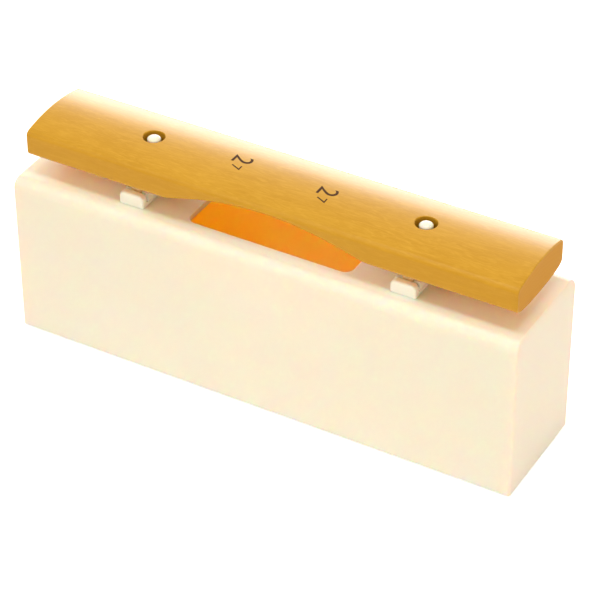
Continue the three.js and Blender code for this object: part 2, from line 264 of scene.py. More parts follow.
@dataclass(frozen=True)
class MouldedPlastic(Finish):
    """Satin moulded plastic: nearly even, with a faint cloudiness and the fine skin of the mould."""

    shade: Colour
    cloud: Colour
    roughness: float = 0.34
    glow: float = 0.9
    glow_depth: float = 0.007
    glow_spread: Colour = (1.0, 0.22, 0.08)
    clouds_per_metre: float = 14
    flow_per_metre: float = 40
    grain_per_metre: float = 2600
    grain_depth: float = 0.000012

    def mix(self, recipe: Recipe) -> None:
        """Fills in the recipe."""
        clouds = recipe.noise(self.clouds_per_metre, detail=2)
        flow = recipe.noise(self.flow_per_metre, stretch=(0.25, 1, 1), detail=3)
        skin = recipe.noise(self.grain_per_metre, detail=2)
        tone = recipe.spread(recipe.sum(clouds, flow, 0.35), 0.45, 0.95)
        recipe.set(
            Base_Color=recipe.blend(tone, self.shade, self.cloud),
            Roughness=recipe.spread(skin, 0.2, 0.8, self.roughness - 0.04, self.roughness + 0.05),
            Subsurface_Weight=self.glow, Subsurface_Radius=self.glow_spread, Subsurface_Scale=self.glow_depth,
        )
        recipe.relief(skin, self.grain_depth)


@dataclass(frozen=True)
class LacqueredWood(Finish):
    """Golden brown wood under satin lacquer, with long fine fibres, small flecks, broad tonal waves, and
    painted shade on the sides below the crease.
    """

    dark: Colour
    golden: Colour
    light: Colour
    roughness: float = 0.4
    lacquer: float = 0.1
    lacquer_edge_on: float = 1.0
    lacquer_roughness: float = 0.22
    gloss: float = 0.16
    painted_side_shade: float = 0.5
    crease: float = 0.1207
    crease_depth: float = 0.0012
    waves_per_metre: float = 14
    figure_per_metre: float = 60
    fibres_per_metre: float = 210
    flecks_per_metre: float = 300
    pores_per_metre: float = 900
    grain_depth: float = 0.00003

    def mix(self, recipe: Recipe) -> None:
        """Fills in the recipe."""
        waves = recipe.noise(self.waves_per_metre, stretch=(1, 5, 5), detail=4, distortion=1.8)
        figure = recipe.noise(self.figure_per_metre, stretch=(0.7, 3.2, 3.2), detail=4, distortion=3.2)
        fibres = recipe.noise(self.fibres_per_metre, stretch=(0.7, 4, 4), detail=5, distortion=1.1,
                              roughness=0.6)
        flecks = recipe.noise(self.flecks_per_metre, stretch=(0.5, 3, 3), detail=2, distortion=0.8)
        pores = recipe.noise(self.pores_per_metre, stretch=(0.2, 1.6, 1.6), detail=2)
        base = recipe.blend(recipe.spread(waves, 0.34, 0.7), self.golden, self.dark)
        base = recipe.blend(recipe.spread(figure, 0.5, 0.74, 0, 0.55), base, self.light)
        base = recipe.blend(recipe.spread(fibres, 0.46, 0.7, 0, 0.5), base, self.light)
        base = recipe.blend(recipe.spread(flecks, 0.6, 0.74, 0, 0.4), base, self.dark)
        base = recipe.blend(recipe.spread(pores, 0.64, 0.76, 0, 0.3), base, self.dark)
        # Painted shade: below the crease the wood blends towards its dark tone, so the bar's sides look less
        # lit than its top.
        height = recipe.add("ShaderNodeSeparateXYZ", Vector=recipe.place).outputs["Z"]
        side = recipe.spread(height, self.crease - self.crease_depth, self.crease, self.painted_side_shade, 0)
        base = recipe.blend(side, base, self.dark)
        edge_on = recipe.add("ShaderNodeLayerWeight", Blend=0.5).outputs["Facing"]
        recipe.set(
            Base_Color=base,
            Roughness=recipe.spread(fibres, 0.3, 0.7, self.roughness - 0.05, self.roughness + 0.06),
            Specular_IOR_Level=self.gloss,
            Coat_Weight=recipe.spread(edge_on, 0.43, 0.75, self.lacquer, self.lacquer_edge_on),
            Coat_Roughness=self.lacquer_roughness,
        )
        recipe.relief(recipe.sum(fibres, pores, 0.5), self.grain_depth)


@dataclass(frozen=True)
class EndGrain(Finish):
    """The sawn and sanded end of the bar: curved growth rings, pores, and a duller, browner tone."""

    dark: Colour
    light: Colour
    roughness: float = 0.55
    gloss: float = 0.08
    heart: tuple[float, float, float] = (0, 0.004, -0.06)
    rings_per_metre: float = 130
    pores_per_metre: float = 2400
    pore_depth: float = 0.00002

    def mix(self, recipe: Recipe) -> None:
        """Fills in the recipe."""
        mapping = recipe.add("ShaderNodeMapping", Vector=recipe.place, Location=self.heart, Scale=(0, 1, 1))
        rings = recipe.add("ShaderNodeTexWave", Vector=mapping.outputs[0], Scale=self.rings_per_metre,
                           Distortion=2.2, Detail=3, Detail_Scale=1.4)
        rings.wave_type = "RINGS"
        rings.rings_direction = "X"
        pores = recipe.noise(self.pores_per_metre, stretch=(0.3, 1, 1), detail=2)
        tone = recipe.sum(recipe.times(rings.outputs["Fac"], 0.2), pores, 0.8)
        recipe.set(
            Base_Color=recipe.blend(recipe.spread(tone, 0.2, 0.9), self.dark, self.light),
            Roughness=recipe.spread(pores, 0.3, 0.7, self.roughness - 0.05, self.roughness + 0.05),
            Specular_IOR_Level=self.gloss,
        )
        recipe.relief(pores, self.pore_depth)


@dataclass(frozen=True)
class SoftPad(Finish):
    """Pale soft elastomer with a dusty matt skin."""

    shade: Colour
    worn: Colour
    lumps_per_metre: float = 420
    skin_per_metre: float = 3200
    skin_depth: float = 0.00003
    glow_depth: float = 0.0015
    glow_spread: Colour = (1.0, 0.7, 0.4)

    def mix(self, recipe: Recipe) -> None:
        """Fills in the recipe."""
        lumps = recipe.noise(self.lumps_per_metre, detail=3)
        skin = recipe.noise(self.skin_per_metre, detail=2)
        recipe.set(
            Base_Color=recipe.blend(recipe.spread(lumps, 0.35, 0.7), self.shade, self.worn),
            Roughness=recipe.spread(skin, 0.3, 0.7, 0.62, 0.78),
            Subsurface_Weight=0.25, Subsurface_Radius=self.glow_spread, Subsurface_Scale=self.glow_depth,
            Sheen_Weight=0.25, Sheen_Roughness=0.5,
        )
        recipe.relief(recipe.sum(skin, lumps, 0.8), self.skin_depth)


@dataclass(frozen=True)
class Rubber(Finish):
    """Dark moulded rubber, matt and slightly dusty."""

    shade: Colour
    dust: Colour
    dust_per_metre: float = 300
    skin_per_metre: float = 3000
    skin_depth: float = 0.00003

    def mix(self, recipe: Recipe) -> None:
        """Fills in the recipe."""
        dust = recipe.noise(self.dust_per_metre, detail=4, roughness=0.6)
        skin = recipe.noise(self.skin_per_metre, detail=2)
        recipe.set(
            Base_Color=recipe.blend(recipe.spread(dust, 0.45, 0.75), self.shade, self.dust),
            Roughness=recipe.spread(dust, 0.3, 0.7, 0.68, 0.86),
        )
        recipe.relief(skin, self.skin_depth)


@dataclass(frozen=True)
class PlatedSteel(Finish):
    """Zinc plated steel: bright, faintly mottled, with fine turning marks."""

    bright: Colour
    dull: Colour
    mottle_per_metre: float = 700
    marks_per_metre: float = 5200
    mark_depth: float = 0.000006

    def mix(self, recipe: Recipe) -> None:
        """Fills in the recipe."""
        mottle = recipe.noise(self.mottle_per_metre, detail=3)
        marks = recipe.noise(self.marks_per_metre, stretch=(1, 1, 0.2), detail=2)
        recipe.set(
            Base_Color=recipe.blend(recipe.spread(mottle, 0.35, 0.7), self.bright, self.dull),
            Roughness=recipe.spread(marks, 0.3, 0.7, 0.2, 0.34),
            Metallic=1.0,
        )
        recipe.relief(marks, self.mark_depth)


@dataclass(frozen=True)
class Ink(Finish):
    """Thin dark printing ink that lets a little of the wood's unevenness through."""

    full: Colour
    thin: Colour
    gaps_per_metre: float = 1500
    gloss: float = 0.08

    def mix(self, recipe: Recipe) -> None:
        """Fills in the recipe."""
        cover = recipe.noise(self.gaps_per_metre, stretch=(0.4, 1, 1), detail=3)
        recipe.set(
            Base_Color=recipe.blend(recipe.spread(cover, 0.45, 0.75), self.full, self.thin),
            Roughness=recipe.spread(cover, 0.3, 0.7, 0.6, 0.75),
            Specular_IOR_Level=self.gloss,
        )


@dataclass(frozen=True)
class Finishes:
    """Every material of the chime bar."""

    box: Material
    chamber: Material
    mouth: Material
    plate: Material
    wood: Material
    bare_wood: Material
    end_grain: Material
    white: Material
    pad: Material
    rubber: Material
    steel: Material
    ink: Material


def make_finishes() -> Finishes:
    """Mixes the materials."""
    finishes = dict(
        box=MouldedPlastic("cream_plastic", (0.93, 0.83, 0.742), (0.915, 0.81, 0.717)),
        # Painted light: the inside walls get a saturated orange in place of the cream plastic, standing in
        # for the warm glow inside the box.
        chamber=MouldedPlastic("chamber_painted_glow", (0.96, 0.75, 0.44), (0.95, 0.73, 0.42),
                               roughness=0.5, glow=1, glow_depth=0.035),
        # Painted light: the sound hole's wall and inner rim get an orange between the shaded cream top and
        # the painted glow inside.
        mouth=MouldedPlastic("mouth_painted_glow", (0.99, 0.77, 0.46), (0.98, 0.75, 0.44),
                             roughness=0.6, glow=0.6, glow_depth=0.003),
        plate=MouldedPlastic("plate_plastic", (0.87, 0.78, 0.59), (0.84, 0.74, 0.55),
                             roughness=0.42, grain_per_metre=1500, grain_depth=0.00003),
        wood=LacqueredWood("golden_wood", (0.525, 0.278, 0.014), (0.575, 0.315, 0.020),
                           (0.665, 0.388, 0.040)),
        bare_wood=LacqueredWood("bare_wood", (0.96, 0.45, 0.03), (0.98, 0.51, 0.04), (0.99, 0.57, 0.06),
                                roughness=0.6, lacquer=0, lacquer_edge_on=0),
        end_grain=EndGrain("end_grain", (0.585, 0.298, 0.030), (0.62, 0.318, 0.036)),
        white=MouldedPlastic("bridge_plastic", (0.85, 0.895, 0.82), (0.83, 0.88, 0.79),
                             roughness=0.32, glow=0.3, glow_depth=0.002),
        pad=SoftPad("pale_elastomer", (0.86, 0.66, 0.38), (0.80, 0.60, 0.34)),
        rubber=Rubber("dark_rubber", (0.030, 0.029, 0.028), (0.065, 0.062, 0.058)),
        steel=PlatedSteel("plated_steel", (0.62, 0.63, 0.65), (0.50, 0.51, 0.53)),
        ink=Ink("printing_ink", (0.060, 0.028, 0.012), (0.13, 0.065, 0.022)),
    )
    return Finishes(**{use: finish.material() for use, finish in finishes.items()})


@dataclass
class Ring:
    """The size of a ring round a rectangle whose corners are quarter ellipses, and its height."""

    half_x: float
    half_y: float
    radius_x: float
    radius_y: float
    z: float

    def point(self, corner: int, share: float) -> Vector:
        """Finds a place on the ring.

        Args:
            corner: The corner's number, from the right rear one, turning left.
            share: How far round that corner the place lies, from 0 to 1.

        Returns:
            The place.
        """
        side_x = 1 if corner in (0, 3) else -1
        side_y = 1 if corner in (0, 1) else -1
        angle = (corner + share) * QUARTER
        return Vector((
            side_x * (self.half_x - self.radius_x) + self.radius_x * math.cos(angle),
            side_y * (self.half_y - self.radius_y) + self.radius_y * math.sin(angle),
            self.z,
        ))


class RingSkin:
    """A skin that grows from a rounded rectangular ring by extruding it to ring after ring."""

    def __init__(self, bm: BMesh, first: Ring, steps: int, centre: Vector) -> None:
        """Makes the first ring.

        Args:
            bm: The mesh that the skin becomes part of.
            first: The first ring.
            steps: Steps round each corner.
            centre: The place that the rings are measured from.
        """
        self.bm = bm
        self.steps = steps
        self.centre = centre
        made = bmesh.ops.create_circle(bm, segments=4 * (steps + 1), radius=1)
        self.verts = list(made["verts"])
        self.first = self.edges()
        self.move(first)

    def edges(self) -> list[BMEdge]:
        """Lists the edges of the newest ring."""
        ring = set(self.verts)
        return [e for e in {e for v in self.verts for e in v.link_edges} if set(e.verts) <= ring]

    def move(self, ring: Ring) -> None:
        """Moves the newest ring's points to their places."""
        for number, vert in enumerate(self.verts):
            corner, step = divmod(number, self.steps + 1)
            vert.co = self.centre + ring.point(corner, step / self.steps)

    def grow(self, ring: Ring, material: int = 0) -> None:
        """Extrudes the newest ring to the next one.

        Args:
            ring: The next ring.
            material: The material's number for the new faces.
        """
        made = bmesh.ops.extrude_edge_only(self.bm, edges=self.edges())
        new = set(new_verts(made))
        for face in (g for g in made["geom"] if isinstance(g, BMFace)):
            face.material_index = material
        self.verts = [next(e.other_vert(v) for e in v.link_edges if e.other_vert(v) in new)
                      for v in self.verts]
        self.move(ring)

    def join_ends(self) -> None:
        """Bridges the newest ring to the first one, which closes the skin."""
        bmesh.ops.bridge_loops(self.bm, edges=self.first + self.edges())

    def cap_ends(self) -> None:
        """Fills the newest ring and the first one."""
        for edges in (self.edges(), self.first):
            bmesh.ops.contextual_create(self.bm, geom=edges)


def eased(steps: int) -> Iterable[tuple[float, float]]:
    """Gives sine and cosine of the angles of a quarter turn, from 0 to the full quarter."""
    for step in range(steps + 1):
        angle = QUARTER * step / steps
        yield math.sin(angle), math.cos(angle)


def rounded_block(bm: BMesh, centre: Vector, size: Vector, corner: float, top: float,
                  bottom: float = 0.0, steps: int = 5) -> None:
    """Adds a block with rounded upright edges, top edges and bottom edges.

    Args:
        bm: The mesh that it becomes part of.
        centre: The middle of its underside.
        size: Its length, depth and height.
        corner: Radius of its upright edges.
        top: Radius of its top edges.
        bottom: Radius of its bottom edges.
        steps: Steps round each corner.
    """
    def ring(inset: float, z: float) -> Ring:
        """Gives the block's outline, drawn in by an inset, at a height."""
        radius = max(corner - inset, corner * LEAST_CORNER_SHARE)
        return Ring(size.x / 2 - inset, size.y / 2 - inset, radius, radius, z)

    skin = RingSkin(bm, ring(bottom, 0), steps, centre)
    if bottom > 0:
        for sine, cosine in list(eased(steps))[1:]:
            skin.grow(ring(bottom * (1 - sine), bottom * (1 - cosine)))
    for sine, cosine in eased(steps):
        skin.grow(ring(top * (1 - cosine), size.z - top + top * sine))
    skin.cap_ends()


def turned(profile: Sequence[Point], places: Iterable[Vector], steps: int, bm: BMesh | None = None) -> BMesh:
    """Makes the same turned body at each of some places.

    Args:
        profile: Places as radius and height, which start and end on the axis.
        places: Where the upright axes stand.
        steps: Steps of the full turn.
        bm: The mesh that they become part of, or None for a new one.

    Returns:
        The mesh with the bodies.
    """
    if bm is None:
        bm = bmesh.new()
    for place in places:
        verts = [bm.verts.new((place.x + radius, place.y, z)) for radius, z in profile]
        edges = [bm.edges.new(pair) for pair in zip(verts, verts[1:])]
        bmesh.ops.spin(bm, geom=verts + edges, cent=(place.x, place.y, 0), axis=(0, 0, 1), angle=FULL_TURN,
                       steps=steps, use_merge=True)
    bmesh.ops.remove_doubles(bm, verts=bm.verts, dist=WELD)
    return bm


def new_verts(made: dict) -> list[BMVert]:
    """Lists the points among what a mesh operator has made."""
    return [g for g in made["geom"] if isinstance(g, BMVert)]


def swept(outline: Iterable[Sequence[float]], shift: Sequence[float]) -> BMesh:
    """Makes a solid by running a flat outline along a straight line.

    Args:
        outline: The outline's corners.
        shift: The way to the far end.

    Returns:
        The solid, with its normals outward.
    """
    bm = bmesh.new()
    face = bm.faces.new([bm.verts.new(place) for place in outline])
    far = new_verts(bmesh.ops.extrude_face_region(bm, geom=[face]))
    bmesh.ops.translate(bm, verts=far, vec=shift)
    bmesh.ops.recalc_face_normals(bm, faces=bm.faces)
    return bm


def both_sides(right: list[Point], shared: int = 0) -> list[Point]:
    """Completes an outline by its mirror image; shared places at each end lie on the middle line."""
    return right + [(-u, v) for u, v in reversed(right[shared:len(right) - shared])]


def softened(bm: BMesh, edges: list[BMEdge], radius: float, segments: int,
             **options: object) -> BMesh:
    """Rounds some edges of a solid.

    Args:
        bm: The solid.
        edges: Its edges that are rounded.
        radius: How far the rounding reaches.
        segments: Steps across it.
        **options: Further settings of Blender's bevel operator.

    Returns:
        The same solid.
    """
    bmesh.ops.bevel(bm, geom=edges, offset=radius, segments=segments, profile=0.5, affect="EDGES", **options)
    return bm


def arc(centre: Point, radius_x: float, radius_z: float, start: float, end: float,
        steps: int) -> list[Point]:
    """Gives places along a part of an ellipse.

    Args:
        centre: The ellipse's middle.
        radius_x: Its half width.
        radius_z: Its half height.
        start: First angle, in quarter turns.
        end: Last angle, in quarter turns.
        steps: Steps between the two.

    Returns:
        The places, both ends among them.
    """
    angles = [QUARTER * (start + (end - start) * step / steps) for step in range(steps + 1)]
    return [(centre[0] + radius_x * math.cos(a), centre[1] + radius_z * math.sin(a)) for a in angles]


def bend(first: Point, pull: Point, last: Point, steps: int) -> list[Point]:
    """Gives places along a quadratic curve, without its first end."""
    places = []
    for step in range(1, steps + 1):
        t = step / steps
        places.append(tuple((1 - t) ** 2 * a + 2 * t * (1 - t) * b + t ** 2 * c
                            for a, b, c in zip(first, pull, last)))
    return places


def placed(name: str, data: ID) -> Object:
    """Puts an object round a mesh, curve, light or camera into the scene."""
    piece = bpy.data.objects.new(name, data)
    bpy.context.scene.collection.objects.link(piece)
    return piece


def finished(bm: BMesh, name: str, *materials: Material) -> Object:
    """Turns a mesh under construction into a piece with clean normals and crisp and smooth edges.

    Args:
        bm: The mesh, which is freed.
        name: The piece's name.
        *materials: Its materials, in the order of the faces' numbers.

    Returns:
        The new piece.
    """
    bmesh.ops.remove_doubles(bm, verts=bm.verts, dist=WELD)
    bmesh.ops.recalc_face_normals(bm, faces=bm.faces)
    mesh = bpy.data.meshes.new(name)
    shade(bm)
    bm.to_mesh(mesh)
    bm.free()
    for material in materials:
        mesh.materials.append(material)
    piece = placed(name, mesh)
    even = piece.modifiers.new("even_normals", "WEIGHTED_NORMAL")
    even.keep_sharp = True
    even.weight = NORMAL_WEIGHT
    return piece


def shade(bm: BMesh) -> None:
    """Shades a mesh smooth, apart from its edges that are sharper than a bend."""
    for face in bm.faces:
        face.smooth = True
    for edge in bm.edges:
        edge.smooth = len(edge.link_faces) == 2 and edge.calc_face_angle(0) < SHARP_ANGLE


def carved(piece: Object, tool: BMesh, how: Carve) -> None:
    """Cuts a solid out of a piece, or joins it to the piece, for good.

    Args:
        piece: The piece that changes.
        tool: The solid, which is freed.
        how: Whether the solid is cut out or joined on.
    """
    bmesh.ops.recalc_face_normals(tool, faces=tool.faces)
    mesh = bpy.data.meshes.new("tool")
    tool.to_mesh(mesh)
    tool.free()
    cutter = placed("tool", mesh)
    change = piece.modifiers.new("carve", "BOOLEAN")
    change.operation = how.value
    change.solver = "EXACT"
    change.use_self = True
    change.object = cutter
    piece.modifiers.move(len(piece.modifiers) - 1, 0)
    even = piece.modifiers["even_normals"]
    even.show_viewport = False
    graph = bpy.context.evaluated_depsgraph_get()
    result = bpy.data.meshes.new_from_object(piece.evaluated_get(graph), depsgraph=graph)
    even.show_viewport = True
    piece.modifiers.remove(change)
    bpy.data.objects.remove(cutter)
    result.name = piece.name
    bm = bmesh.new()
    bm.from_mesh(result)
    bmesh.ops.remove_doubles(bm, verts=bm.verts, dist=WELD)
    bmesh.ops.holes_fill(bm, edges=[e for e in bm.edges if e.is_boundary], sides=0)
    shade(bm)
    bm.to_mesh(result)
    bm.free()
    piece.data = result


def seated(piece: Object, body: Body, slot: Slot, *nodes: str) -> Object:
    """Ties a finished piece to its body, hides the nodes that it stands for, and reports it."""
    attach(piece, body.value)
    if nodes:
        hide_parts(*nodes)
    LOG.info("%s: %d faces", piece.name, len(piece.data.polygons))
    return piece


def middle(node: str) -> Vector:
    """Finds the middle of a node's box."""
    low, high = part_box(node)
    return (low + high) / 2


@dataclass
class ResonatorBox:
    """The moulded shell: soft edges along its top, a rounded sound hole, and screw bosses inside."""

    wall: float = 0.003
    corner_radius: float = 0.0015
    inner_corner_radius: float = 0.0012
    corner_least: float = 0.0002
    long_edge_round: float = 0.0065
    end_edge_round: float = 0.0013
    foot_edge_round: float = 0.0004
    ceiling_end_round: float = 0.0001
    hole_length: float = 0.094
    hole_depth: float = 0.0414
    hole_radius: float = 0.005
    hole_rim: float = 0.0006
    boss_radius: float = 0.0045
    boss_height: float = 0.016
    boss_bore: float = 0.0016
    boss_bore_depth: float = 0.0085
    rib_width: float = 0.0016
    rib_setback: float = 0.0015
    rib_softness: float = 0.125
    rib_steps: int = 2
    steps: int = 12
    foot_steps: int = 4
    rim_steps: int = 5
    ceiling_steps: int = 6
    boss_steps: int = 32
    bore_steps: int = 24
    mouth_from_step: int = 3

    def __post_init__(self) -> None:
        """Reads the box's outline from the frame."""
        self.low, self.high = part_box("resonator_box")
        self.half = (self.high - self.low) / 2
        self.ceiling = self.high.z - self.wall
        self.plate_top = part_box("base_screw_left_front")[1].z - self.boss_bore_depth

    def outline(self, z: float, inset_x: float = 0, inset_y: float = 0) -> Ring:
        """Gives the outer wall's ring at a height, drawn in along X and Y."""
        radius = max(self.corner_radius - inset_x, self.corner_least)
        return Ring(self.half.x - inset_x, self.half.y - inset_y, radius, radius, z)

    def opening(self, z: float, grow: float = 0) -> Ring:
        """Gives the sound hole's ring at a height, made wider by grow."""
        radius = self.hole_radius + grow
        return Ring(self.hole_length / 2 + grow, self.hole_depth / 2 + grow, radius, radius, z)

    def chamber(self, z: float, inset_x: float = 0, inset_y: float = 0) -> Ring:
        """Gives the inner wall's ring at a height, drawn in along X and Y."""
        radius = self.inner_corner_radius
        return Ring(self.half.x - self.wall - inset_x, self.half.y - self.wall - inset_y, radius, radius, z)

    def shell(self) -> BMesh:
        """Grows the skin up the outside, over the top, through the sound hole and down the inside."""
        bm = bmesh.new()
        foot = self.foot_edge_round
        skin = RingSkin(bm, self.outline(self.low.z, foot, foot), self.steps, Vector((0, 0, 0)))
        for sine, cosine in list(eased(self.foot_steps))[1:]:
            inset = foot * (1 - sine)
            skin.grow(self.outline(self.low.z + foot * (1 - cosine), inset, inset))
        for sine, cosine in eased(self.steps):
            skin.grow(self.outline(self.high.z - self.long_edge_round * (1 - sine),
                                   self.end_edge_round * (1 - cosine), self.long_edge_round * (1 - cosine)))
        for step, (sine, cosine) in enumerate(eased(self.rim_steps)):
            skin.grow(self.opening(self.high.z - self.hole_rim * (1 - cosine), self.hole_rim * (1 - sine)),
                      ShellFace.OUTSIDE if step < self.mouth_from_step else ShellFace.MOUTH)
        skin.grow(self.opening(self.ceiling), ShellFace.MOUTH)
        inner_round = self.long_edge_round - self.wall
        for sine, cosine in reversed(list(eased(self.ceiling_steps))):
            ring = self.chamber(self.ceiling - inner_round * (1 - sine),
                                self.ceiling_end_round * (1 - cosine), inner_round * (1 - cosine))
            skin.grow(ring, ShellFace.INSIDE)
        skin.grow(self.chamber(self.low.z), ShellFace.INSIDE)
        skin.join_ends()
        return bm

    def boss(self, place: Vector) -> Iterable[BMesh]:
        """Makes a screw boss, the ribs that tie it to the walls beside it, and the bore through them.

        Args:
            place: Where the boss stands.

        Yields:
            The solids, of which the last one, the bore, is cut out.
        """
        bottom = self.plate_top
        top = bottom + self.boss_height
        yield turned([(0, bottom), (self.boss_radius, bottom), (self.boss_radius, top),
                      (0, top + self.boss_radius)], [place], self.boss_steps)
        start = Vector((place.x, place.y, bottom + self.rib_setback))
        height = self.boss_height - 2 * self.rib_setback
        reach = self.half.y - abs(place.y) - self.wall / 2
        ribs = [(Vector((0, math.copysign(reach / 2, place.y), 0)), Vector((self.rib_width, reach, height)))]
        if abs(place.x) > self.half.x / 2:
            reach = self.half.x - abs(place.x) - self.wall / 2
            ribs.append((Vector((math.copysign(reach / 2, place.x), 0, 0)),
                         Vector((reach, self.rib_width, height))))
        for shift, size in ribs:
            rib = bmesh.new()
            softness = self.rib_width * self.rib_softness
            rounded_block(rib, start + shift, size, softness, softness, steps=self.rib_steps)
            yield rib
        below, end = bottom - self.wall, bottom + self.boss_bore_depth
        yield turned([(0, below), (self.boss_bore, below), (self.boss_bore, end), (0, end + self.boss_bore)],
                     [place], self.bore_steps)

    def build(self, finishes: Finishes) -> None:
        """Makes the box and dresses it."""
        piece = finished(self.shell(), "resonator_shell", finishes.box, finishes.chamber, finishes.mouth)
        for node in SCREWS:
            *solids, bore = self.boss(middle(node))
            for solid in (*solids, bore):
                for face in solid.faces:
                    face.material_index = ShellFace.INSIDE
            for solid in solids:
                carved(piece, solid, Carve.JOIN)
            carved(piece, bore, Carve.CUT)
        seated(piece, Body.STAND, Slot.BOX, "resonator_box")


@dataclass
class Base:
    """The plate that closes the box, with its ribs, six screws and four rubber feet."""

    corner_radius: float = 0.0009
    edge_round: float = 0.0004
    rib_height: float = 0.004
    rib_width: float = 0.0016
    rib_frame_depth: float = 0.034
    rib_frame_margin: float = 0.014
    bays: int = 4
    rung_drop: float = 0.00002
    rib_corner_share: float = 0.1
    rib_round_share: float = 1 / 6
    rib_steps: int = 3
    pocket_depth: float = 0.0012
    pocket_gap: float = 0.0003
    counterbore_radius: float = 0.0035
    counterbore_depth: float = 0.0016
    screw_hole_radius: float = 0.0016
    head_radius: float = 0.0032
    head_height: float = 0.0014
    head_crown_share: float = 0.62
    head_steps: int = 8
    shank_radius: float = 0.00145
    tip_length: float = 0.002
    recess_length: float = 0.0034
    recess_width: float = 0.00075
    recess_depth: float = 0.0009
    recess_taper: float = 0.55
    foot_edge_round: float = 0.0005
    tread_ring_share: float = 0.5
    tread_steps: int = 6
    overrun: float = 0.001
    steps: int = 40

    def __post_init__(self) -> None:
        """Reads the plate's outline from the frame."""
        self.low, self.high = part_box("base_plate")
        self.slab_top = self.high.z - self.rib_height
        low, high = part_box(FEET[0])
        self.foot_radius = (high.x - low.x) / 2

    def plate(self, finishes: Finishes) -> None:
        """Makes the ribbed plate with its pockets and counterbores."""
        bm = bmesh.new()
        size = Vector((self.high.x - self.low.x, self.high.y - self.low.y, self.slab_top - self.low.z))
        rounded_block(bm, Vector((0, 0, self.low.z)), size, self.corner_radius, self.edge_round,
                      self.edge_round)
        piece = finished(bm, "bottom_plate", finishes.plate)
        carved(piece, self.ribs(size.x - 2 * self.rib_frame_margin), Carve.JOIN)
        below = self.low.z - self.overrun
        seat = self.low.z + self.counterbore_depth
        radius, top = self.foot_radius + self.pocket_gap, self.low.z + self.pocket_depth
        holes = [(0, below), (self.counterbore_radius, below), (self.counterbore_radius, seat),
                 (self.screw_hole_radius, seat), (self.screw_hole_radius, self.high.z), (0, self.high.z)]
        pockets = [(0, below), (radius, below), (radius, top), (0, top)]
        cuts = turned(holes, map(middle, SCREWS), self.steps)
        carved(piece, turned(pockets, map(middle, FEET), self.steps, cuts), Carve.CUT)
        seated(piece, Body.STAND, Slot.BOX, "base_plate")

    def ribs(self, length: float) -> BMesh:
        """Makes the ladder of ribs: two rails, and a rung at each end of every bay.

        Args:
            length: The ladder's length.

        Returns:
            The ladder.
        """
        bm = bmesh.new()
        pitch = (length - self.rib_width) / self.bays
        bottom = (self.low.z + self.slab_top) / 2
        height = self.high.z - bottom
        rail = Vector((length, self.rib_width, height))
        rung = Vector((self.rib_width, self.rib_frame_depth - self.rib_width / 2, height - self.rung_drop))
        offset = (self.rib_frame_depth - self.rib_width) / 2
        bars = [(Vector((0, y, bottom)), rail) for y in (-offset, offset)]
        bars += [(Vector(((number - self.bays / 2) * pitch, 0, bottom)), rung)
                 for number in range(self.bays + 1)]
        for place, size in bars:
            rounded_block(bm, place, size, self.rib_width * self.rib_corner_share,
                          self.rib_width * self.rib_round_share, steps=self.rib_steps)
        return bm

    def screw(self, node: str, finishes: Finishes) -> None:
        """Makes a pan head screw with a cross recess."""
        low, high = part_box(node)
        place = middle(node)
        seat = low.z + self.head_height
        crown_height = self.head_height * self.head_crown_share
        crown = [(r, low.z + crown_height - z)
                 for r, z in arc((0, 0), self.head_radius, crown_height, 1, 0, self.head_steps)]
        profile = [(0, low.z), *crown[1:], (self.head_radius, seat), (self.shank_radius, seat),
                   (self.shank_radius, high.z - self.tip_length), (0, high.z)]
        piece = finished(turned(profile, [place], self.steps), f"screw_{node.removeprefix('base_screw_')}",
                         finishes.steel)
        cross = bmesh.new()
        start = Vector((place.x, place.y, low.z + (self.recess_depth - self.overrun) / 2))
        for size in ((self.recess_length, self.recess_width), (self.recess_width, self.recess_length)):
            shape = Matrix.Diagonal((*size, self.recess_depth + self.overrun, 1))
            arm = bmesh.ops.create_cube(cross, size=1, matrix=Matrix.Translation(start) @ shape)["verts"]
            bmesh.ops.scale(cross, verts=[v for v in arm if v.co.z > low.z],
                            vec=(self.recess_taper, self.recess_taper, 1), space=Matrix.Translation(-start))
        carved(piece, cross, Carve.CUT)
        seated(piece, Body.STAND, Slot.STEEL, node)

    def foot(self, node: str, finishes: Finishes) -> None:
        """Makes a rubber foot with a softly rounded tread."""
        low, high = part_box(node)
        radius, edge = self.foot_radius, self.foot_edge_round
        tread = arc((radius - edge, low.z + edge), edge, edge, -1, 0, self.tread_steps)
        profile = [(0, low.z), (radius * self.tread_ring_share, low.z), *tread, (radius, high.z - edge / 2),
                   (radius - edge / 2, high.z), (0, high.z)]
        piece = finished(turned(profile, [middle(node)], self.steps), f"rubber_{node}", finishes.rubber)
        seated(piece, Body.STAND, Slot.RUBBER, node)

    def build(self, finishes: Finishes) -> None:
        """Makes the plate, the screws and the feet."""
        self.plate(finishes)
        for node in SCREWS:
            self.screw(node, finishes)
        for node in FEET:
            self.foot(node, finishes)


